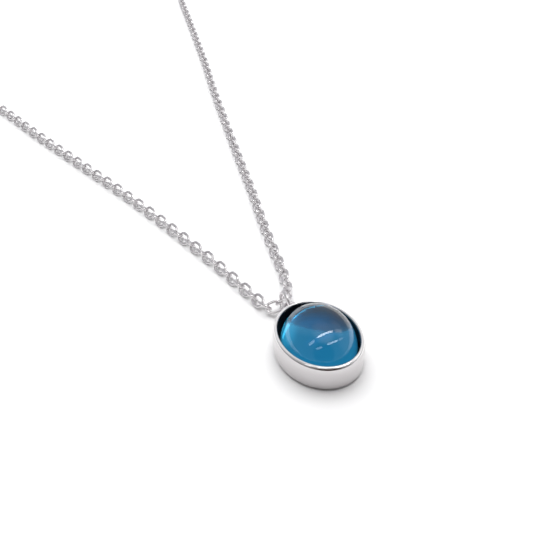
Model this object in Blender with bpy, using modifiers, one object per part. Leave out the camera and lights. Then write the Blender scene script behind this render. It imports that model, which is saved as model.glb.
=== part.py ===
"""Pendant necklace: an oval domed stone in a bezel cup, on a fine cable chain with a lobster clasp.

Units are metres, +Z up. The origin is the middle of the flat back of the pendant, +Y runs along the
oval towards the bail, and the necklace lies unfastened on the plane z = 0.
"""
import math

import bmesh
import bpy
from mathutils import Vector

MM = 0.001

# pendant: the stone lies a little loose in the cup, off its middle and turned
CUP_LENGTH = 10.1 * MM
CUP_WIDTH = 8.1 * MM
STONE_LENGTH = 9.2 * MM
STONE_WIDTH = 7.9 * MM
STONE_DOME = 4.05 * MM
STONE_EDGE = 0.2 * MM
STONE_OFFSET = 0.05 * MM
STONE_TURN = math.radians(-8)
BEZEL_WALL = 0.50 * MM
BEZEL_TOP = 3.1 * MM
BEZEL_ROUNDING = 0.22 * MM
PLATE_THICKNESS = 0.45 * MM
SEAT_TOP = 1.22 * MM
SEAT_WIDTH = 0.75 * MM
SEAT_ROUNDING = 0.05 * MM
PLATE_ROUNDING = 0.14 * MM
SOLDER_GAP = 0.03 * MM
OVAL_SEGMENTS = 72

# bail
EYE_CENTRE = Vector((0, 6.2, 1.75)) * MM
EYE_RADIUS = 0.72 * MM
EYE_WIRE = 0.40 * MM
EYE_OPEN_ANGLE = math.radians(44)
BAIL_RING_CENTRE = Vector((0, 7.44, 1.75)) * MM
BAIL_RING_RADIUS = 0.98 * MM
BAIL_RING_WIRE = 0.44 * MM

# chain
LINK_LENGTH = 2.04 * MM
LINK_WIDTH = 1.55 * MM
LINK_WIRE = 0.34 * MM
LINK_PITCH = 1.32 * MM
LINK_POINTS = 16
CHAIN_HEIGHT = 0.62 * MM
CHAIN_RADIUS = 0.6 * MM
CHAIN_POINT_SPACING = 2.7 * MM

# each link near the bail: middle in mm, then azimuth, tilt and roll in degrees
CENTRE_LINK = ((0.05, 8.26, 1.26), (29, -2, -46))
LEFT_LINKS = [((-1.11, 7.97, 0.90), (164, -15, -33)),
              ((-1.88, 8.87, 0.79), (108, -7, 47)),
              ((-2.08, 10.15, 0.63), (98, -5, -43)),
              ((-2.29, 11.46, 0.62), (100, 0, 45))]
RIGHT_LINKS = [((1.06, 9.06, 0.99), (47, -11, 45)),
               ((1.74, 10.16, 0.82), (66, -9, -45)),
               ((2.20, 11.40, 0.63), (70, -5, 44)),
               ((2.60, 12.66, 0.62), (73, 0, -45))]

# the runs of chain between the links that are modelled one by one, in mm
LEFT_ROUTE = [(-2.48, 12.5), (-3.8, 20), (-6.0, 30), (-8.5, 40), (-11.3, 50), (-14.7, 62), (-18.1, 75),
              (-22.0, 85.5), (-27.8, 90), (-32.8, 85), (-35.4, 76.5), (-39.2, 71), (-43.4, 74.5),
              (-45.5, 84), (-46, 96), (-45, 108), (-42.5, 119), (-39, 128), (-34.5, 134.3),
              (-30.8, 136.8), (-28, 137)]
RIGHT_ROUTE = [(2.91, 13.7), (4.16, 19), (5.56, 24.5), (7.32, 30.9), (9.72, 40.4), (12.2, 50),
               (15.7, 63.2), (19.0, 74.8), (21.7, 85), (24.6, 96), (27.7, 108), (30.6, 118),
               (32, 127), (29, 134.8), (23.8, 136), (20.6, 131), (18.7, 124.6), (14.8, 121.4),
               (11.2, 124.5), (9.7, 130.5), (6.6, 135.6), (2.3, 137), (-1, 137)]

# end fittings, which lie along X on the line of the two ends
END_LINE = 137.0 * MM
END_LINKS = 3
CLASP_RING_RADIUS = 1.02 * MM
CLASP_RING_WIRE = 0.36 * MM
CLASP_RING_HEIGHT = 0.92 * MM
END_RING_RADIUS = 1.95 * MM
END_RING_WIRE = 0.50 * MM
END_RING_TILT = math.radians(5)
HOOK_PLAY = 0.03 * MM
END_LINK_RISE = 0.06 * MM
END_LINK_PLAY = 0.05 * MM
END_RING_LIFT = 0.02 * MM

# lobster clasp, in its own frame: x from its eye to its tip, z through its thickness
CLASP_THICKNESS = 1.7 * MM
CLASP_HEIGHT = 0.87 * MM
CLASP_EYE = (0.95, 0.0)
CLASP_EYE_HOLE = 0.5
CLASP_EYE_THICKNESS = 0.44 * MM
CLASP_EYE_END = 1.85
CLASP_EYE_CLEARANCE = 0.15
CLASP_PIVOT = (3.0, -0.55)
CLASP_OUTLINE = [(0.0, 0.0), (0.3, 0.72), (1.1, 0.98), (2.1, 1.4), (3.6, 1.9), (5.3, 2.05), (7.0, 1.75),
                 (8.15, 0.8), (8.5, -0.35), (8.15, -1.35), (7.5, -1.78), (7.1, -1.55), (7.3, -1.0),
                 (7.5, -0.3), (7.2, 0.5), (6.3, 0.95), (5.2, 0.95), (4.4, 0.5), (4.05, -0.2), (4.0, -0.95),
                 (3.6, -1.4), (2.4, -1.3), (1.3, -0.98), (0.35, -0.75)]
LEVER_OUTLINE = [(2.45, -0.55), (2.75, -0.06), (3.3, -0.08), (3.75, -0.62), (4.6, -1.0), (5.8, -1.2),
                 (6.85, -1.2), (7.05, -1.45), (6.8, -1.72), (5.8, -1.75), (4.6, -1.65), (3.95, -1.95),
                 (3.5, -2.35), (3.1, -2.2), (2.95, -1.6), (2.6, -1.05)]
LEVER_THICKNESS = 0.60 * MM
LEVER_ROUNDING = 0.08 * MM
LEVER_SLOT = 0.68 * MM
SLOT_BOX = ((1.95, -2.6), (4.35, 0.12))
PIN_RADIUS = 0.22 * MM
PIN_LENGTH = 1.62 * MM
PIN_HOLE = 0.25 * MM
SPRING_WIRE = 0.16 * MM
SPRING_SIDE = [(2.1, -0.3), (2.15, -0.8), (2.3, -1.25), (2.55, -1.5)]


def clear_scene():
    for obj in list(bpy.data.objects):
        bpy.data.objects.remove(obj)


def new_collection(name):
    collection = bpy.data.collections.new(name)
    bpy.context.scene.collection.children.link(collection)
    return collection


def principled(name, colour, metallic, roughness, transmission=0.0, ior=1.5):
    material = bpy.data.materials.new(name)
    material.use_nodes = True
    shader = material.node_tree.nodes["Principled BSDF"]
    shader.inputs["Base Color"].default_value = (*colour, 1.0)
    shader.inputs["Metallic"].default_value = metallic
    shader.inputs["Roughness"].default_value = roughness
    shader.inputs["Transmission Weight"].default_value = transmission
    shader.inputs["IOR"].default_value = ior
    return material


def new_object(name, data, material, location=(0, 0, 0), rotation=(0, 0, 0)):
    obj = bpy.data.objects.new(name, data)
    data.materials.append(material)
    obj.location = location
    obj.rotation_euler = rotation
    necklace.objects.link(obj)
    return obj


def mesh_object(name, bm, material, **place):
    """Turn a finished bmesh into a smooth-shaded object."""
    mesh = bpy.data.meshes.new(name)
    bmesh.ops.recalc_face_normals(bm, faces=bm.faces)
    bm.to_mesh(mesh)
    bm.free()
    mesh.shade_smooth()
    mesh.set_sharp_from_angle(angle=math.radians(40))
    return new_object(name, mesh, material, **place)


def on_pivot(obj, pivot):
    """Hang an object on an empty that stands on its joint's axis."""
    empty = bpy.data.objects.new(obj.name + "_pivot", None)
    empty.location = pivot
    necklace.objects.link(empty)
    obj.location = Vector(obj.location) - Vector(pivot)
    obj.parent = empty


# pendant


def oval_ring(half_width, half_length, bottom, top, wall, rounding, name, material):
    """A band that follows an oval: a strip of faces, thickened inwards, its edges rounded."""
    bm = bmesh.new()
    bmesh.ops.create_circle(bm, segments=OVAL_SEGMENTS, radius=1.0)
    bmesh.ops.scale(bm, vec=(half_width, half_length, 1), verts=bm.verts)
    bmesh.ops.translate(bm, vec=(0, 0, bottom), verts=bm.verts)
    raised = bmesh.ops.extrude_edge_only(bm, edges=bm.edges)["geom"]
    verts = [item for item in raised if isinstance(item, bmesh.types.BMVert)]
    bmesh.ops.translate(bm, vec=(0, 0, top - bottom), verts=verts)
    obj = mesh_object(name, bm, material)
    band = obj.modifiers.new("wall", "SOLIDIFY")
    band.thickness = wall
    band.offset = -1
    band.use_even_offset = True
    add_bevel(obj, rounding, 2)
    return obj


def add_bevel(obj, width, segments):
    bevel = obj.modifiers.new("edges", "BEVEL")
    bevel.width = width
    bevel.segments = segments
    bevel.limit_method = "ANGLE"
    bevel.angle_limit = math.radians(40)


def build_bezel_wall(material):
    half_width = CUP_WIDTH / 2 + BEZEL_WALL
    half_length = CUP_LENGTH / 2 + BEZEL_WALL
    bottom = PLATE_THICKNESS + SOLDER_GAP
    oval_ring(half_width, half_length, bottom, BEZEL_TOP, BEZEL_WALL, BEZEL_ROUNDING, "bezel_wall", material)


def build_seat_ring(material):
    half_width = CUP_WIDTH / 2 - SOLDER_GAP
    half_length = CUP_LENGTH / 2 - SOLDER_GAP
    bottom = PLATE_THICKNESS + SOLDER_GAP
    oval_ring(half_width, half_length, bottom, SEAT_TOP, SEAT_WIDTH, SEAT_ROUNDING, "seat_ring", material)


def build_back_plate(material):
    """The flat floor of the cup, cut to the outline of the wall that stands on it."""
    bm = bmesh.new()
    bmesh.ops.create_cone(bm, cap_ends=True, segments=OVAL_SEGMENTS, radius1=1, radius2=1,
                          depth=PLATE_THICKNESS)
    half_width = CUP_WIDTH / 2 + BEZEL_WALL
    half_length = CUP_LENGTH / 2 + BEZEL_WALL
    bmesh.ops.scale(bm, vec=(half_width, half_length, 1), verts=bm.verts)
    bmesh.ops.translate(bm, vec=(0, 0, PLATE_THICKNESS / 2), verts=bm.verts)
    plate = mesh_object("back_plate", bm, material)
    add_bevel(plate, PLATE_ROUNDING, 2)


def build_stone(material):
    """A high cabochon: half an ellipsoid on a short straight girdle with a flat base."""
    bm = bmesh.new()
    bmesh.ops.create_uvsphere(bm, u_segments=48, v_segments=24, radius=1)
    cut = bmesh.ops.bisect_plane(bm, geom=bm.verts[:] + bm.edges[:] + bm.faces[:], plane_co=(0, 0, 0),
                                 plane_no=(0, 0, 1), clear_inner=True)
    girdle = [item for item in cut["geom_cut"] if isinstance(item, bmesh.types.BMEdge)]
    bmesh.ops.scale(bm, vec=(STONE_WIDTH / 2, STONE_LENGTH / 2, STONE_DOME), verts=bm.verts)
    lower = bmesh.ops.extrude_edge_only(bm, edges=girdle)["geom"]
    verts = [item for item in lower if isinstance(item, bmesh.types.BMVert)]
    edges = [item for item in lower if isinstance(item, bmesh.types.BMEdge)]
    bmesh.ops.translate(bm, vec=(0, 0, -STONE_EDGE), verts=verts)
    bmesh.ops.edgeloop_fill(bm, edges=edges)
    base = SEAT_TOP + SOLDER_GAP
    place = (STONE_OFFSET, 0, base + STONE_EDGE)
    mesh_object("stone", bm, material, location=place, rotation=(0, 0, STONE_TURN))


# wire work


def wire(name, points, radius, material, closed, sides=2):
    """A round wire along a list of points; closed ones join end to start, open ones are capped."""
    curve = bpy.data.curves.new(name, "CURVE")
    curve.dimensions = "3D"
    curve.bevel_depth = radius
    curve.bevel_resolution = sides
    curve.use_fill_caps = True
    spline = curve.splines.new("POLY")
    spline.points.add(len(points) - 1)
    for point, place in zip(spline.points, points):
        point.co = (*place, 1)
    spline.use_cyclic_u = closed
    return new_object(name, curve, material)


def circle_points(radius, count, start=0.0, end=2 * math.pi, closed=True):
    steps = count if closed else count - 1
    angles = [start + (end - start) * i / steps for i in range(count)]
    return [Vector((radius * math.cos(a), radius * math.sin(a), 0)) for a in angles]


def link_points():
    """The middle line of one oval link: two half circles joined by straight sides."""
    half_length = (LINK_LENGTH - LINK_WIRE) / 2
    half_width = (LINK_WIDTH - LINK_WIRE) / 2
    straight = half_length - half_width
    points = []
    for i in range(LINK_POINTS):
        angle = 2 * math.pi * (i + 0.5) / LINK_POINTS
        side = math.copysign(straight, math.cos(angle))
        points.append(Vector((side + half_width * math.cos(angle), half_width * math.sin(angle), 0)))
    return points


def build_link(name, middle, angles, pivot, material):
    azimuth, tilt, roll = (math.radians(a) for a in angles)
    link = wire(name, link_points(), LINK_WIRE / 2, material, closed=True, sides=1)
    link.location = middle
    link.rotation_euler = (roll, -tilt, azimuth)
    on_pivot(link, pivot)


def build_bail(material):
    """A short loop on the end of the cup, and the ring that joins it to the chain."""
    start = -EYE_OPEN_ANGLE
    points = circle_points(EYE_RADIUS, 24, start, math.pi - start, closed=False)
    eye = wire("bail_eye", points, EYE_WIRE / 2, material, closed=False)
    eye.location = EYE_CENTRE
    ring = wire("bail_ring", circle_points(BAIL_RING_RADIUS, 32), BAIL_RING_WIRE / 2, material, closed=True)
    ring.location = BAIL_RING_CENTRE
    ring.rotation_euler = (0, math.pi / 2, 0)
    on_pivot(ring, EYE_CENTRE + Vector((0, EYE_RADIUS, 0)))


def build_near_links(material):
    """The middle link, and the first links of each side, which hang on one another."""
    middle = Vector(CENTRE_LINK[0]) * MM
    build_link("link_centre", middle, CENTRE_LINK[1], middle, material)
    for side, links in (("left", LEFT_LINKS), ("right", RIGHT_LINKS)):
        before = middle
        for number, (place, angles) in enumerate(links, start=1):
            place = Vector(place) * MM
            build_link(f"link_{side}_{number}", place, angles, (before + place) / 2, material)
            before = place


def smooth_route(points, spacing):
    """Points at an even spacing along a Catmull-Rom curve through the points of a route."""
    ends = [2 * points[0] - points[1]] + points + [2 * points[-1] - points[-2]]
    dense = []
    for a, b, c, d in zip(ends, ends[1:], ends[2:], ends[3:]):
        for i in range(40):
            t = i / 40
            dense.append(0.5 * (2 * b + (c - a) * t + (2 * a - 5 * b + 4 * c - d) * t ** 2
                                + (3 * b - a - 3 * c + d) * t ** 3))
    dense.append(points[-1])
    lengths = [0.0]
    for before, after in zip(dense, dense[1:]):
        lengths.append(lengths[-1] + (after - before).length)
    count = round(lengths[-1] / spacing)
    even = []
    index = 0
    for i in range(count + 1):
        goal = lengths[-1] * i / count
        while index < len(dense) - 2 and lengths[index + 1] < goal:
            index += 1
        part = (goal - lengths[index]) / (lengths[index + 1] - lengths[index])
        even.append(dense[index].lerp(dense[index + 1], part))
    return even


def build_chain_run(name, route, pivot, material):
    points = [Vector((x * MM, y * MM, CHAIN_HEIGHT)) for x, y in route]
    run = wire(name, smooth_route(points, CHAIN_POINT_SPACING), CHAIN_RADIUS, material, closed=False)
    on_pivot(run, pivot)


def build_chain_runs(material):
    runs = (("chain_left", LEFT_ROUTE, LEFT_LINKS), ("chain_right", RIGHT_ROUTE, RIGHT_LINKS))
    for name, route, links in runs:
        last = Vector(links[-1][0]) * MM
        start = Vector((route[0][0] * MM, route[0][1] * MM, CHAIN_HEIGHT))
        build_chain_run(name, route, (last + start) / 2, material)


def build_end_links(side, start, direction, material):
    """Three links from the end of a run towards its fitting; returns the middle of the last one."""
    azimuth = 0 if direction > 0 else 180
    before = start
    for number in range(1, END_LINKS + 1):
        reach = LINK_LENGTH / 2 + END_LINK_PLAY + (number - 1) * LINK_PITCH
        rise = END_LINK_RISE * max(0, number - 2)
        place = Vector((start + direction * reach, END_LINE, CHAIN_HEIGHT + rise))
        roll = 45 if number % 2 else -45
        pivot = Vector(((before + place.x) / 2, END_LINE, CHAIN_HEIGHT))
        build_link(f"link_{side}_end_{number}", place, (azimuth, 0, roll), pivot, material)
        before = place.x
    return place


# clasp


def smooth_outline(name, loops, thickness, material, steps=5):
    """A flat plate with a smooth outline; the loops after the first are holes."""
    curve = bpy.data.curves.new(name, "CURVE")
    curve.dimensions = "2D"
    curve.fill_mode = "BOTH"
    curve.extrude = thickness / 2
    curve.resolution_u = steps
    for loop in loops:
        spline = curve.splines.new("BEZIER")
        spline.bezier_points.add(len(loop) - 1)
        for point, (x, y) in zip(spline.bezier_points, loop):
            point.co = (x * MM, y * MM, 0)
            point.handle_left_type = "AUTO"
            point.handle_right_type = "AUTO"
        spline.use_cyclic_u = True
    return new_object(name, curve, material)


def solid_from_curve(obj):
    """Replace a curve object by a mesh with its caps welded on, so that it can be cut."""
    bpy.context.view_layer.update()
    mesh = bpy.data.meshes.new_from_object(obj.evaluated_get(bpy.context.evaluated_depsgraph_get()))
    bm = bmesh.new()
    bm.from_mesh(mesh)
    bmesh.ops.remove_doubles(bm, verts=bm.verts, dist=0.002 * MM)
    bmesh.ops.recalc_face_normals(bm, faces=bm.faces)
    bm.to_mesh(mesh)
    bm.free()
    name = obj.name
    matrix = obj.matrix_world.copy()
    bpy.data.objects.remove(obj)
    solid = bpy.data.objects.new(name, mesh)
    solid.matrix_world = matrix
    necklace.objects.link(solid)
    return solid


def add_cutter(name, bm, location):
    mesh = bpy.data.meshes.new(name)
    bm.to_mesh(mesh)
    bm.free()
    cutter = bpy.data.objects.new(name, mesh)
    cutter.location = location
    cutter.hide_render = True
    cutter.display_type = "WIRE"
    cutters.objects.link(cutter)
    return cutter


def box_cutter(name, size, location):
    bm = bmesh.new()
    bmesh.ops.create_cube(bm, size=1)
    bmesh.ops.scale(bm, vec=size, verts=bm.verts)
    return add_cutter(name, bm, location)


def pin_cutter(name, radius, location):
    bm = bmesh.new()
    bmesh.ops.create_cone(bm, cap_ends=True, segments=20, radius1=radius, radius2=radius, depth=4 * MM)
    return add_cutter(name, bm, location)


def cut(obj, cutter):
    boolean = obj.modifiers.new(cutter.name, "BOOLEAN")
    boolean.operation = "DIFFERENCE"
    boolean.solver = "EXACT"
    boolean.object = cutter


def clasp_place(origin, x, y):
    return origin + Vector((x, y, 0)) * MM


def build_clasp_body(origin, pivot, material):
    """The hook with its eye: a thick smooth plate, thinned at the eye and slotted for the lever."""
    hole = [(CLASP_EYE[0] + CLASP_EYE_HOLE * math.cos(a), CLASP_EYE_HOLE * math.sin(a))
            for a in (math.pi * i / 4 for i in range(8))]
    plate = smooth_outline("clasp_body", [CLASP_OUTLINE, hole], CLASP_THICKNESS, material)
    plate.location = origin
    body = solid_from_curve(plate)
    body.data.shade_smooth()
    body.data.set_sharp_from_angle(angle=math.radians(40))
    thinning = (CLASP_THICKNESS - CLASP_EYE_THICKNESS) / 2
    for name, side in (("eye_top_cutter", 1), ("eye_bottom_cutter", -1)):
        height = side * (CLASP_EYE_THICKNESS / 2 + thinning)
        box = box_cutter(name, (2 * CLASP_EYE_END * MM, 4 * MM, 2 * thinning), origin + Vector((0, 0, height)))
        cut(body, box)
    (left, low), (right, high) = SLOT_BOX
    middle = clasp_place(origin, (left + right) / 2, (low + high) / 2)
    slot = box_cutter("slot_cutter", ((right - left) * MM, (high - low) * MM, LEVER_SLOT), middle)
    cut(body, slot)
    cut(body, pin_cutter("pin_cutter", PIN_HOLE, pivot))


def build_clasp_lever(origin, pivot, material):
    """The gate with its thumb tab, which swings on the pin inside the slot."""
    plate = smooth_outline("clasp_lever", [LEVER_OUTLINE], LEVER_THICKNESS, material, steps=4)
    plate.location = origin
    lever = solid_from_curve(plate)
    lever.data.shade_smooth()
    lever.data.set_sharp_from_angle(angle=math.radians(40))
    add_bevel(lever, LEVER_ROUNDING, 1)
    cut(lever, pin_cutter("lever_cutter", PIN_HOLE, pivot))
    bpy.context.view_layer.update()
    on_pivot(lever, pivot)


def build_clasp_pin(pivot, material):
    bm = bmesh.new()
    bmesh.ops.create_cone(bm, cap_ends=True, segments=20, radius1=PIN_RADIUS, radius2=PIN_RADIUS,
                          depth=PIN_LENGTH)
    mesh_object("clasp_pin", bm, material, location=pivot)


def build_clasp_spring(origin, material):
    """The bowed wire that lies at the back of the slot and pushes the lever shut."""
    points = [Vector((x, y, 0)) * MM for x, y in SPRING_SIDE]
    spring = wire("clasp_spring", smooth_route(points, 0.12 * MM), SPRING_WIRE / 2, material, closed=False)
    spring.location = origin


def build_clasp_end(metal, steel):
    """The last links of the left side, a small ring, and the lobster clasp on it."""
    start = LEFT_ROUTE[-1][0] * MM
    last = build_end_links("left", start, 1, metal)
    end_wire = last.x + (LINK_LENGTH - LINK_WIRE) / 2
    hook = (LINK_WIRE + CLASP_RING_WIRE) / 2 + HOOK_PLAY
    ring_x = end_wire - hook + CLASP_RING_RADIUS
    ring = wire("clasp_ring", circle_points(CLASP_RING_RADIUS, 28), CLASP_RING_WIRE / 2, metal, closed=True)
    ring.location = (ring_x, END_LINE, CLASP_RING_HEIGHT)
    ring.rotation_euler = (math.radians(-45), 0, 0)
    on_pivot(ring, Vector((end_wire - hook / 2, END_LINE, CLASP_RING_HEIGHT)))
    origin_x = ring_x + CLASP_RING_RADIUS - (CLASP_EYE[0] - CLASP_EYE_CLEARANCE) * MM
    origin = Vector((origin_x, END_LINE, CLASP_HEIGHT))
    pivot = clasp_place(origin, *CLASP_PIVOT)
    build_clasp_body(origin, pivot, metal)
    build_clasp_lever(origin, pivot, metal)
    build_clasp_pin(pivot, steel)
    build_clasp_spring(origin, steel)


def build_ring_end(material):
    """The last links of the right side and the ring that the clasp hooks on."""
    start = RIGHT_ROUTE[-1][0] * MM
    last = build_end_links("right", start, -1, material)
    end_wire = last.x - (LINK_LENGTH - LINK_WIRE) / 2
    hook = (LINK_WIRE + END_RING_WIRE) / 2 + HOOK_PLAY
    near = Vector((end_wire + hook, END_LINE, 0))
    ring = wire("end_ring", circle_points(END_RING_RADIUS, 40), END_RING_WIRE / 2, material, closed=True)
    height = END_RING_WIRE / 2 + END_RING_LIFT + END_RING_RADIUS * math.sin(END_RING_TILT)
    middle = near.x - END_RING_RADIUS * math.cos(END_RING_TILT)
    ring.location = (middle, END_LINE, height)
    ring.rotation_euler = (0, -END_RING_TILT, 0)
    on_pivot(ring, Vector((end_wire + hook / 2, END_LINE, height)))


clear_scene()
necklace = new_collection("pendant_necklace")
cutters = new_collection("cutters")
white_metal = principled("white_metal", (0.80, 0.80, 0.81), 1.0, 0.12)
spring_steel = principled("spring_steel", (0.55, 0.56, 0.58), 1.0, 0.25)
blue_stone = principled("blue_stone", (0.02, 0.16, 0.33), 0.0, 0.03, transmission=0.9, ior=1.61)

build_bezel_wall(white_metal)
build_seat_ring(white_metal)
build_back_plate(white_metal)
build_stone(blue_stone)
build_bail(white_metal)
build_near_links(white_metal)
build_chain_runs(white_metal)
build_clasp_end(white_metal, spring_steel)
build_ring_end(white_metal)
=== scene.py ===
import math
import bmesh
import bpy
from mathutils import Matrix, Vector


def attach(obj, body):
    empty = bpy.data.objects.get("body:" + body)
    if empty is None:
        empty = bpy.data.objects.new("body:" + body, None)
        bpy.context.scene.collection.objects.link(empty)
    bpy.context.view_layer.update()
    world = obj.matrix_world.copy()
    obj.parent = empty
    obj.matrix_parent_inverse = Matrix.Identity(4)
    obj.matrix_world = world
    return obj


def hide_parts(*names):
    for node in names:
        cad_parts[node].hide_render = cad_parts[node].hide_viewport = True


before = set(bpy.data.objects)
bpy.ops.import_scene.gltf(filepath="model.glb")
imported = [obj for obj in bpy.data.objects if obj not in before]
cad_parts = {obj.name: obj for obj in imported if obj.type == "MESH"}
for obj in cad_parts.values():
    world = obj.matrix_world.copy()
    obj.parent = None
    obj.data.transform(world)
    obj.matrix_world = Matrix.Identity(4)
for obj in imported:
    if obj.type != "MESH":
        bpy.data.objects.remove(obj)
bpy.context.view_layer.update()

# Camera: a normal lens held a hand's width above the table, looking down along the pendant towards its
# chain.
camera_data = bpy.data.cameras.new("camera")
camera_data.lens = 49.3
camera_data.sensor_width = 36
camera_data.clip_start = 0.002
camera_data.clip_end = 20
camera = bpy.data.objects.new("camera", camera_data)
bpy.context.scene.collection.objects.link(camera)
camera_place = Vector((-0.02928, -0.04912, 0.05622))
camera_right = Vector((0.8887, -0.4581, -0.0185)).normalized()
camera_back = -Vector((0.3481, 0.7003, -0.6232)).normalized()
camera_up = camera_back.cross(camera_right)
camera_turn = Matrix((camera_right, camera_up, camera_back)).transposed()
camera.matrix_world = Matrix.Translation(camera_place) @ camera_turn.to_4x4()
bpy.context.scene.camera = camera

# Chain: oval links of drawn white-metal wire, each soldered shut through the one before it, so that
# they turn by a quarter from one to the next and the chain lies on the table on their slanted sides.
# The two runs are fixed lengths of this chain. Their routes are in millimetres along the table.
link_wire = 0.00034
link_length = 0.00204
link_width = 0.00155
link_pitch = 0.00132
chain_height = 0.00062
left_route = [(-2.34, 11.76), (-2.48, 12.5), (-3.8, 20), (-6.0, 30), (-8.5, 40), (-11.3, 50),
              (-14.7, 62), (-18.1, 75), (-22.0, 85.5), (-27.8, 90), (-32.8, 85), (-35.4, 76.5),
              (-39.2, 71), (-43.4, 74.5), (-45.5, 84), (-46, 96), (-45, 108), (-42.5, 119),
              (-39, 128), (-34.5, 134.3), (-30.8, 136.8), (-27.23, 137)]
right_route = [(2.69, 12.95), (2.91, 13.7), (4.16, 19), (5.56, 24.5), (7.32, 30.9), (9.72, 40.4),
               (12.2, 50), (15.7, 63.2), (19.0, 74.8), (21.7, 85), (24.6, 96), (27.7, 108),
               (30.6, 118), (32, 127), (29, 134.8), (23.8, 136), (20.6, 131), (18.7, 124.6),
               (14.8, 121.4), (11.2, 124.5), (9.7, 130.5), (6.6, 135.6), (2.3, 137), (-1.77, 137)]


def wire_loop(length, width, wire, steps, sides):
    """A closed loop of round wire in the XY plane: a full turn, drawn out along X into an oval."""
    loop = bmesh.new()
    half_width = (width - wire) / 2
    bmesh.ops.create_circle(loop, segments=sides, radius=wire / 2)
    bmesh.ops.rotate(loop, verts=loop.verts, matrix=Matrix.Rotation(math.pi / 2, 3, "X"))
    bmesh.ops.translate(loop, verts=loop.verts, vec=(half_width, 0, 0))
    half_step = Matrix.Rotation(math.pi / steps, 3, "Z")
    bmesh.ops.rotate(loop, verts=loop.verts, matrix=half_step)
    bmesh.ops.spin(loop, geom=loop.verts[:] + loop.edges[:], axis=(0, 0, 1), angle=2 * math.pi,
                   steps=steps, use_merge=True)
    stretch = (length - width) / 2
    for vert in loop.verts:
        vert.co.x += math.copysign(stretch, vert.co.x)
    bmesh.ops.recalc_face_normals(loop, faces=loop.faces)
    return loop


def lay_over(middle, azimuth, tilt, roll):
    """The place of a loop whose long side points along azimuth and tilt, rolled about that side."""
    turn = Matrix.Rotation(azimuth, 4, "Z") @ Matrix.Rotation(-tilt, 4, "Y")
    return Matrix.Translation(middle) @ turn @ Matrix.Rotation(roll, 4, "X")


def finished(name, shape, material, body, smooth_angle=40):
    """Make an object of a bmesh at the origin, smooth it, paint it and fix it to its body."""
    mesh = bpy.data.meshes.new(name)
    shape.to_mesh(mesh)
    shape.free()
    mesh.shade_smooth()
    mesh.set_sharp_from_angle(angle=math.radians(smooth_angle))
    mesh.materials.append(material)
    piece = bpy.data.objects.new(name, mesh)
    bpy.context.scene.collection.objects.link(piece)
    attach(piece, body)
    return piece


def polished_metal(name, colour, roughness, scratch_scale, bump):
    """Polished white metal: faint wipe marks in the gloss and a trace of unevenness from the buff."""
    material = bpy.data.materials.new(name)
    material.use_nodes = True
    nodes, links = material.node_tree.nodes, material.node_tree.links
    shader = nodes["Principled BSDF"]
    shader.inputs["Metallic"].default_value = 1.0
    shader.inputs["Base Color"].default_value = (*colour, 1)
    place = nodes.new("ShaderNodeTexCoord")
    marks = nodes.new("ShaderNodeTexNoise")
    marks.inputs["Scale"].default_value = scratch_scale
    marks.inputs["Detail"].default_value = 4
    gloss = nodes.new("ShaderNodeMapRange")
    gloss.inputs["To Min"].default_value = roughness[0]
    gloss.inputs["To Max"].default_value = roughness[1]
    links.new(place.outputs["Object"], marks.inputs["Vector"])
    links.new(marks.outputs["Fac"], gloss.inputs["Value"])
    links.new(gloss.outputs["Result"], shader.inputs["Roughness"])
    waves = nodes.new("ShaderNodeTexNoise")
    waves.inputs["Scale"].default_value = scratch_scale * 0.35
    waves.inputs["Detail"].default_value = 2
    relief = nodes.new("ShaderNodeBump")
    relief.inputs["Strength"].default_value = bump
    relief.inputs["Distance"].default_value = 0.00004
    links.new(place.outputs["Object"], waves.inputs["Vector"])
    links.new(waves.outputs["Fac"], relief.inputs["Height"])
    links.new(relief.outputs["Normal"], shader.inputs["Normal"])
    return material


chain_metal = polished_metal("chain_metal", (0.80, 0.78, 0.79), (0.20, 0.34), 900, 0.15)


def smooth_line(route):
    """Closely spaced points on a Catmull-Rom curve through the points of a route, given in mm."""
    points = [Vector((x / 1000, y / 1000, chain_height)) for x, y in route]
    ends = [2 * points[0] - points[1]] + points + [2 * points[-1] - points[-2]]
    line = []
    for a, b, c, d in zip(ends, ends[1:], ends[2:], ends[3:]):
        for i in range(40):
            t = i / 40
            line.append(0.5 * (2 * b + (c - a) * t + (2 * a - 5 * b + 4 * c - d) * t ** 2
                               + (3 * b - a - 3 * c + d) * t ** 3))
    return line + [points[-1]]


def line_length(line):
    return sum((after - before).length for before, after in zip(line, line[1:]))


def at_distance(line, distance):
    """The point of a line at a distance from its start, and the direction there."""
    for before, after in zip(line, line[1:]):
        step = (after - before).length
        if distance <= step:
            return before.lerp(after, distance / step), (after - before) / step
        distance -= step
    return line[-1], (line[-1] - line[-2]).normalized()


def chain_run(name, line, first_roll, last_roll, body):
    """Oval links at an even pitch along a line, each rolled a quarter turn from the one before."""
    link_mesh = bpy.data.meshes.new("run_link")
    pattern = wire_loop(link_length, link_width, link_wire, 16, 5)
    pattern.to_mesh(link_mesh)
    pattern.free()
    length = line_length(line)
    count = round((length - link_length) / link_pitch) + 1
    if (count % 2 == 1) != (first_roll == last_roll):
        count += 1
    pitch = (length - link_length) / (count - 1)
    run = bmesh.new()
    for number in range(count):
        middle, direction = at_distance(line, link_length / 2 + number * pitch)
        roll = first_roll if number % 2 == 0 else -first_roll
        before = len(run.verts)
        run.from_mesh(link_mesh)
        run.verts.ensure_lookup_table()
        azimuth = math.atan2(direction.y, direction.x)
        place = lay_over(middle, azimuth, 0, roll)
        bmesh.ops.transform(run, matrix=place, verts=run.verts[before:])
    bpy.data.meshes.remove(link_mesh)
    return finished(name, run, chain_metal, body, smooth_angle=80)


side_roll = math.radians(45)
left_line = smooth_line(left_route)
right_line = smooth_line(right_route)
left_run = chain_run("left_run", left_line, -side_roll, -side_roll, "chain_left")
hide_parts("chain_left")
right_run = chain_run("right_run", right_line, side_roll, -side_roll, "chain_right")
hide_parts("chain_right")

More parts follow.
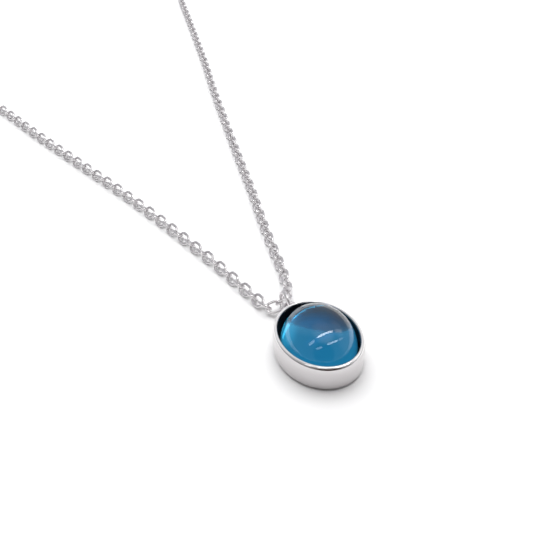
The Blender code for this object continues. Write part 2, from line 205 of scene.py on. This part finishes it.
# Links modelled one by one: the one that carries the pendant's ring, the first four of each side, and
# the last three of each side, which lead to the clasp and to its ring. Same wire, same solder. Near
# links have a middle in millimetres, then azimuth, tilt and roll. End links have x, z, azimuth and roll.
near_steps, near_sides = 36, 14
near_links = {
    "link_centre": ((0.05, 8.26, 1.26), (29, -2, -46)),
    "link_left_1": ((-1.11, 7.97, 0.90), (164, -15, -33)),
    "link_left_2": ((-1.88, 8.87, 0.79), (108, -7, 47)),
    "link_left_3": ((-2.08, 10.15, 0.63), (98, -5, -43)),
    "link_left_4": ((-2.29, 11.46, 0.62), (100, 0, 45)),
    "link_right_1": ((1.06, 9.06, 0.99), (47, -11, 45)),
    "link_right_2": ((1.74, 10.16, 0.82), (66, -9, -45)),
    "link_right_3": ((2.20, 11.40, 0.63), (70, -5, 44)),
    "link_right_4": ((2.60, 12.66, 0.62), (73, 0, -45)),
}
for node, (middle, angles) in near_links.items():
    link = wire_loop(link_length, link_width, link_wire, near_steps, near_sides)
    azimuth, tilt, roll = (math.radians(angle) for angle in angles)
    place = lay_over(Vector(middle) / 1000, azimuth, tilt, roll)
    bmesh.ops.transform(link, matrix=place, verts=link.verts)
    piece = finished("fine_" + node, link, chain_metal, node)
    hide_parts(node)

end_line = 0.137
end_links = {
    "link_left_end_1": (-26.93, 0.62, 0, 45),
    "link_left_end_2": (-25.61, 0.62, 0, -45),
    "link_left_end_3": (-24.29, 0.68, 0, 45),
    "link_right_end_1": (-2.07, 0.62, 180, 45),
    "link_right_end_2": (-3.39, 0.62, 180, -45),
    "link_right_end_3": (-4.71, 0.68, 180, 45),
}
for node, (x, z, azimuth, roll) in end_links.items():
    link = wire_loop(link_length, link_width, link_wire, near_steps, near_sides)
    middle = Vector((x / 1000, end_line, z / 1000))
    place = lay_over(middle, math.radians(azimuth), 0, math.radians(roll))
    bmesh.ops.transform(link, matrix=place, verts=link.verts)
    piece = finished("fine_" + node, link, chain_metal, node)
    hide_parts(node)

# End fittings: on the left a small soldered ring and a cast lobster clasp, whose lever turns on a steel
# pin against a bowed spring; on the right a larger plain ring that the clasp hooks on.
clasp_ring_size, clasp_ring_wire = 0.0024, 0.00036
clasp_ring = wire_loop(clasp_ring_size, clasp_ring_size, clasp_ring_wire, 48, 16)
clasp_ring_place = Matrix.Translation((-0.0228, end_line, 0.00092)) @ Matrix.Rotation(-side_roll, 4, "X")
bmesh.ops.transform(clasp_ring, matrix=clasp_ring_place, verts=clasp_ring.verts)
clasp_ring_piece = finished("fine_clasp_ring", clasp_ring, chain_metal, "clasp_ring")
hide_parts("clasp_ring")

end_ring_size, end_ring_wire = 0.0044, 0.0005
end_ring = wire_loop(end_ring_size, end_ring_size, end_ring_wire, 72, 20)
end_ring_place = (Matrix.Translation((-0.0070526, end_line, 0.00044))
                  @ Matrix.Rotation(math.radians(-5), 4, "Y"))
bmesh.ops.transform(end_ring, matrix=end_ring_place, verts=end_ring.verts)
end_ring_piece = finished("fine_end_ring", end_ring, chain_metal, "end_ring")
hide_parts("end_ring")


def rounded_casting(node, rounding, material, body):
    """The node's own solid, merged, with its sharp edges rounded off as tumbling leaves them."""
    shape = bmesh.new()
    shape.from_mesh(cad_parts[node].data)
    bmesh.ops.remove_doubles(shape, verts=shape.verts, dist=0.000002)
    bmesh.ops.dissolve_limit(shape, angle_limit=math.radians(2), verts=shape.verts, edges=shape.edges)
    sharp = [edge for edge in shape.edges if edge.calc_face_angle(0) > math.radians(40)]
    bmesh.ops.bevel(shape, geom=sharp, offset=rounding, affect="EDGES", segments=3, profile=0.5,
                    clamp_overlap=True, material=-1)
    piece = finished("fine_" + node, shape, material, body)
    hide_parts(node)
    return piece


spring_metal = polished_metal("spring_metal", (0.42, 0.42, 0.44), (0.22, 0.36), 1500, 0.2)
rounded_casting("clasp_body", 0.00014, chain_metal, "clasp")
rounded_casting("clasp_lever", 0.00006, chain_metal, "clasp_lever")
pin_piece = rounded_casting("clasp_pin", 0.00005, spring_metal, "clasp")
spring_piece = rounded_casting("clasp_spring", 0.00001, spring_metal, "clasp")

# Bail: a half loop of wire soldered on the end of the cup, and the round ring that joins it to the
# chain.
bail_size, bail_wire, bail_height = 0.0024, 0.00044, 0.00175
bail_ring = wire_loop(bail_size, bail_size, bail_wire, 64, 20)
bail_place = Matrix.Translation((0, 0.00744, bail_height)) @ Matrix.Rotation(math.pi / 2, 4, "Y")
bmesh.ops.transform(bail_ring, matrix=bail_place, verts=bail_ring.verts)
ring_piece = finished("fine_bail_ring", bail_ring, chain_metal, "bail_ring")
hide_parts("bail_ring")

eye_radius = 0.00072
eye_wire = 0.00040
eye_open = math.radians(56)
eye = bmesh.new()
bmesh.ops.create_circle(eye, cap_ends=True, segments=20, radius=eye_wire / 2)
bmesh.ops.rotate(eye, verts=eye.verts, matrix=Matrix.Rotation(math.pi / 2, 3, "X"))
bmesh.ops.translate(eye, verts=eye.verts, vec=(eye_radius, 0, 0))
bmesh.ops.rotate(eye, verts=eye.verts, matrix=Matrix.Rotation(-eye_open, 3, "Z"))
bmesh.ops.spin(eye, geom=eye.verts[:] + eye.edges[:] + eye.faces[:], axis=(0, 0, 1),
               angle=math.pi + 2 * eye_open, steps=44)
bmesh.ops.translate(eye, verts=eye.verts, vec=(0, 0.0062, bail_height))
bmesh.ops.recalc_face_normals(eye, faces=eye.faces)
eye_piece = finished("fine_bail_eye", eye, chain_metal, "pendant")
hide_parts("bail_eye")

# Cup: a strip of white metal bent to an oval and soldered to a floor plate, its upper edge rolled and
# polished, with a painted highlight along the lip, its lower edge rounded. Inside, the wall is painted
# near-black as shade, and the floor is blue in its middle and painted darker towards the wall as its
# shade. The profile is in millimetres: out from the inner wall, and height.
inner_width = 0.00405
inner_length = 0.00505
floor_height = 0.0012
lip_height = 0.00295
cup_profile = [(0.00, 1.20), (0.00, 2.60), (0.00, 2.88), (0.012, 2.98), (0.05, 3.06), (0.11, 3.10),
               (0.18, 3.095), (0.25, 3.06), (0.32, 3.0), (0.39, 2.90), (0.44, 2.79), (0.48, 2.64),
               (0.50, 2.45), (0.50, 2.1), (0.50, 1.6), (0.50, 1.0), (0.49, 0.6), (0.46, 0.35),
               (0.40, 0.16), (0.30, 0.04), (0.16, 0.0)]

cup = bmesh.new()
out, height = cup_profile[0]
verts = bmesh.ops.create_circle(cup, segments=160, radius=1)["verts"]
bmesh.ops.scale(cup, vec=(inner_width + out / 1000, inner_length + out / 1000, 1), verts=verts)
bmesh.ops.translate(cup, vec=(0, 0, height / 1000), verts=verts)
rim = cup.edges[:]
bmesh.ops.edgeloop_fill(cup, edges=rim)
for next_out, next_height in cup_profile[1:]:
    drawn = bmesh.ops.extrude_edge_only(cup, edges=rim)["geom"]
    verts = [item for item in drawn if isinstance(item, bmesh.types.BMVert)]
    rim = [item for item in drawn if isinstance(item, bmesh.types.BMEdge)
           and item.verts[0] in verts and item.verts[1] in verts]
    wider = (inner_width + next_out / 1000) / (inner_width + out / 1000)
    longer = (inner_length + next_out / 1000) / (inner_length + out / 1000)
    bmesh.ops.scale(cup, vec=(wider, longer, 1), verts=verts)
    bmesh.ops.translate(cup, vec=(0, 0, (next_height - height) / 1000), verts=verts)
    out, height = next_out, next_height
bmesh.ops.edgeloop_fill(cup, edges=rim)
bmesh.ops.recalc_face_normals(cup, faces=cup.faces)
cup_metal = polished_metal("cup_metal", (0.62, 0.60, 0.605), (0.08, 0.16), 500, 0.10)
shader = cup_metal.node_tree.nodes["Principled BSDF"]
place = cup_metal.node_tree.nodes.new("ShaderNodeTexCoord")
height_of = cup_metal.node_tree.nodes.new("ShaderNodeSeparateXYZ")
# Painted highlight: the band under the top of the lip is painted much lighter than the wall, and above it
# the metal is made partly diffuse, so the lip shows a painted sheen.
lip = cup_metal.node_tree.nodes.new("ShaderNodeMapRange")
lip.inputs["From Min"].default_value = 0.00286
lip.inputs["From Max"].default_value = 0.00292
painted_lip_highlight = cup_metal.node_tree.nodes.new("ShaderNodeValToRGB")
painted_lip_highlight.color_ramp.elements[0].color = (0.62, 0.60, 0.605, 1)
painted_lip_highlight.color_ramp.elements[1].color = (0.95, 0.94, 0.94, 1)
lip_top_sheen = cup_metal.node_tree.nodes.new("ShaderNodeMapRange")
lip_top_sheen.inputs["From Min"].default_value = 0.0029
lip_top_sheen.inputs["From Max"].default_value = 0.0030
lip_top_sheen.inputs["To Min"].default_value = 1.0
lip_top_sheen.inputs["To Max"].default_value = 0.7
cup_links = cup_metal.node_tree.links
cup_links.new(place.outputs["Object"], height_of.inputs["Vector"])
cup_links.new(height_of.outputs["Z"], lip.inputs["Value"])
cup_links.new(lip.outputs["Result"], painted_lip_highlight.inputs["Fac"])
cup_links.new(painted_lip_highlight.outputs["Color"], shader.inputs["Base Color"])
cup_links.new(height_of.outputs["Z"], lip_top_sheen.inputs["Value"])
cup_links.new(lip_top_sheen.outputs["Result"], shader.inputs["Metallic"])
# Painted shade: the inner wall of the cup is painted near-black with a faint mottle, standing in for the
# shade in the gap around the stone.
cup_inside = bpy.data.materials.new("cup_inside")
cup_inside.use_nodes = True
shader = cup_inside.node_tree.nodes["Principled BSDF"]
shader.inputs["Metallic"].default_value = 0.6
shader.inputs["Roughness"].default_value = 0.45
place = cup_inside.node_tree.nodes.new("ShaderNodeTexCoord")
shade_mottle = cup_inside.node_tree.nodes.new("ShaderNodeTexNoise")
shade_mottle.inputs["Scale"].default_value = 700
painted_wall_shade = cup_inside.node_tree.nodes.new("ShaderNodeValToRGB")
painted_wall_shade.color_ramp.elements[0].color = (0.006, 0.006, 0.010, 1)
painted_wall_shade.color_ramp.elements[1].color = (0.030, 0.030, 0.040, 1)
cup_inside.node_tree.links.new(place.outputs["Object"], shade_mottle.inputs["Vector"])
cup_inside.node_tree.links.new(shade_mottle.outputs["Fac"], painted_wall_shade.inputs["Fac"])
cup_inside.node_tree.links.new(painted_wall_shade.outputs["Color"], shader.inputs["Base Color"])
# The cup floor is blue in its middle and painted darker towards the wall, a painted shade from the wall.
cup_floor = polished_metal("cup_floor", (0.30, 0.30, 0.31), (0.30, 0.42), 800, 0.3)
floor_nodes, floor_links = cup_floor.node_tree.nodes, cup_floor.node_tree.links
place = floor_nodes.new("ShaderNodeTexCoord")
oval = floor_nodes.new("ShaderNodeMapping")
oval.inputs["Scale"].default_value = (1 / inner_width, 1 / inner_length, 0)
from_middle = floor_nodes.new("ShaderNodeVectorMath")
from_middle.operation = "LENGTH"
floor_blue_and_shade = floor_nodes.new("ShaderNodeValToRGB")
floor_blue_and_shade.color_ramp.elements[0].position = 0.40
floor_blue_and_shade.color_ramp.elements[0].color = (0.02, 0.26, 0.42, 1)
floor_blue_and_shade.color_ramp.elements[1].position = 0.56
floor_blue_and_shade.color_ramp.elements[1].color = (0.015, 0.03, 0.045, 1)
floor_links.new(place.outputs["Object"], oval.inputs["Vector"])
floor_links.new(oval.outputs["Vector"], from_middle.inputs[0])
floor_links.new(from_middle.outputs["Value"], floor_blue_and_shade.inputs["Fac"])
floor_links.new(floor_blue_and_shade.outputs["Color"], floor_nodes["Principled BSDF"].inputs["Base Color"])
# Inner wall faces take the painted shade; floor faces take the blue floor with its painted shade towards
# the wall.
for face in cup.faces:
    middle = face.calc_center_median()
    outward = math.hypot(middle.x / inner_width, middle.y / inner_length)
    if floor_height + 0.0001 < middle.z < lip_height and outward < 1.001:
        face.material_index = 1
    elif abs(middle.z - floor_height) < 0.0001:
        face.material_index = 2
cup_piece = finished("cup", cup, cup_metal, "pendant")
cup_piece.data.materials.append(cup_inside)
cup_piece.data.materials.append(cup_floor)
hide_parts("bezel_wall", "back_plate", "seat_ring")

# Stone: an oval cabochon of a clear blue stone, cut as half an ellipsoid on a thin flat-based girdle,
# and polished all over. It sits in the cup turned a little from straight.
stone_half_width = 0.00395
stone_half_length = 0.0046
stone_dome = 0.00405
stone_girdle = 0.00145
stone_base = 0.00125
stone_offset = 0.00005
stone_turn = math.radians(-8)
stone = bmesh.new()
bmesh.ops.create_uvsphere(stone, u_segments=128, v_segments=96, radius=1)
halves = bmesh.ops.bisect_plane(stone, geom=stone.verts[:] + stone.edges[:] + stone.faces[:],
                                plane_co=(0, 0, 0), plane_no=(0, 0, 1), clear_inner=True)
rim = [item for item in halves["geom_cut"] if isinstance(item, bmesh.types.BMEdge)]
bmesh.ops.scale(stone, vec=(stone_half_width, stone_half_length, stone_dome), verts=stone.verts)
lower = bmesh.ops.extrude_edge_only(stone, edges=rim)["geom"]
lower_verts = [item for item in lower if isinstance(item, bmesh.types.BMVert)]
lower_edges = [item for item in lower if isinstance(item, bmesh.types.BMEdge)]
bmesh.ops.translate(stone, vec=(0, 0, stone_base - stone_girdle), verts=lower_verts)
bmesh.ops.edgeloop_fill(stone, edges=lower_edges)
bmesh.ops.recalc_face_normals(stone, faces=stone.faces)
seat = Matrix.Translation((stone_offset, 0, stone_girdle)) @ Matrix.Rotation(stone_turn, 4, "Z")
bmesh.ops.transform(stone, matrix=seat, verts=stone.verts)

blue_glass = bpy.data.materials.new("clear_blue_stone")
blue_glass.use_nodes = True
shader = blue_glass.node_tree.nodes["Principled BSDF"]
shader.inputs["Base Color"].default_value = (0.97, 0.99, 1.0, 1)
shader.inputs["Roughness"].default_value = 0.0
shader.inputs["IOR"].default_value = 1.61
shader.inputs["Transmission Weight"].default_value = 1.0
absorb = blue_glass.node_tree.nodes.new("ShaderNodeVolumeAbsorption")
absorb.inputs["Color"].default_value = (0.25, 0.79, 0.917, 1)
absorb.inputs["Density"].default_value = 600
output = blue_glass.node_tree.nodes["Material Output"]
blue_glass.node_tree.links.new(absorb.outputs["Volume"], output.inputs["Volume"])
stone_piece = finished("cabochon", stone, blue_glass, "pendant")
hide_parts("stone")

# Table and light: a seamless white table in a grey room, with a dark side, pale walls and window, and
# two rows of ceiling tubes that show on the stone. A broad soft light from behind gives the shadow.
floor_shape = bmesh.new()
bmesh.ops.create_grid(floor_shape, x_segments=1, y_segments=1, size=3)
floor_mesh = bpy.data.meshes.new("table")
floor_shape.to_mesh(floor_mesh)
floor_shape.free()
floor = bpy.data.objects.new("table", floor_mesh)
bpy.context.scene.collection.objects.link(floor)
white = bpy.data.materials.new("white_table")
white.use_nodes = True
white.node_tree.nodes["Principled BSDF"].inputs["Base Color"].default_value = (0.9, 0.9, 0.9, 1)
white.node_tree.nodes["Principled BSDF"].inputs["Roughness"].default_value = 0.9
white.node_tree.nodes["Principled BSDF"].inputs["Specular IOR Level"].default_value = 0.0
floor_mesh.materials.append(white)

world = bpy.data.worlds.new("studio")
world.use_nodes = True
room_nodes, room_links = world.node_tree.nodes, world.node_tree.links
look = room_nodes.new("ShaderNodeTexCoord")


def towards(direction, edge, core):
    """How much a view ray looks at a screen: 1 within its core, falling to 0 at its edge."""
    cosine = room_nodes.new("ShaderNodeVectorMath")
    cosine.operation = "DOT_PRODUCT"
    cosine.inputs[1].default_value = Vector(direction).normalized()
    part = room_nodes.new("ShaderNodeMapRange")
    part.interpolation_type = "SMOOTHSTEP"
    part.inputs["From Min"].default_value = edge
    part.inputs["From Max"].default_value = core
    room_links.new(look.outputs["Generated"], cosine.inputs[0])
    room_links.new(cosine.outputs["Value"], part.inputs["Value"])
    return part.outputs["Result"]


# Each screen has a direction, the cosines of its edge and its core, and a brightness.
seen = room_nodes.new("ShaderNodeRGB").outputs["Color"]
seen.default_value = (0.22, 0.22, 0.23, 1)
screens = [((-0.35, -0.80, 0.45), 0.78, 0.90, (0.030, 0.010, 0.008)),
           ((0.32, 0.69, 0.64), 0.30, 0.70, (0.56, 0.56, 0.58)),
           ((0.93, -0.25, 0.25), 0.75, 0.95, (0.45, 0.45, 0.46)),
           ((0.766, 0.0, 0.643), 0.925, 1.0, (0.9, 0.9, 0.9)),
           ((0.10, -0.10, 0.99), 0.80, 0.97, (1.0, 1.0, 1.0))]
for direction, edge, core, colour in screens:
    screen = room_nodes.new("ShaderNodeMixRGB")
    screen.inputs["Color2"].default_value = (*colour, 1)
    room_links.new(towards(direction, edge, core), screen.inputs["Fac"])
    room_links.new(seen, screen.inputs["Color1"])
    seen = screen.outputs["Color"]
# Seen directly the backdrop is plain white, so that the room shows in the reflections only.
ray = room_nodes.new("ShaderNodeLightPath")
backdrop = room_nodes.new("ShaderNodeMixRGB")
backdrop.inputs["Color2"].default_value = (1, 1, 1, 1)
room_links.new(ray.outputs["Is Camera Ray"], backdrop.inputs["Fac"])
room_links.new(seen, backdrop.inputs["Color1"])
room_links.new(backdrop.outputs["Color"], room_nodes["Background"].inputs["Color"])
bpy.context.scene.world = world
bpy.context.scene.view_settings.view_transform = "Standard"

bounce_light = bpy.data.lights.new("ceiling_bounce", "SUN")
bounce_light.energy = 2.9
bounce_light.angle = math.radians(80)
bounce = bpy.data.objects.new("ceiling_bounce", bounce_light)
bounce.rotation_euler = (math.radians(-30), math.radians(10), 0)
bounce.visible_glossy = False
bounce.visible_transmission = False
bpy.context.scene.collection.objects.link(bounce)

# Each tube has its left and right ends, its y, its width and its brightness.
tube_height = 1.0
tubes = [(-1.4, -0.62, -0.22, 0.14, 2.6), (-0.37, 0.63, -0.18, 0.09, 8), (0.87, 1.9, -0.17, 0.20, 1.2),
         (-1.07, -0.45, -0.81, 0.16, 2.4), (-0.01, 0.88, -0.78, 0.12, 5), (1.08, 2.1, -0.76, 0.20, 1.3)]
for number, (left, right, y, width, radiance) in enumerate(tubes, start=1):
    light = bpy.data.lights.new(f"tube_{number}", "AREA")
    light.shape = "RECTANGLE"
    light.size = right - left
    light.size_y = width
    light.energy = math.pi * light.size * light.size_y * radiance
    tube = bpy.data.objects.new(f"tube_{number}", light)
    tube.location = ((left + right) / 2, y, tube_height)
    tube.visible_diffuse = False
    bpy.context.scene.collection.objects.link(tube)
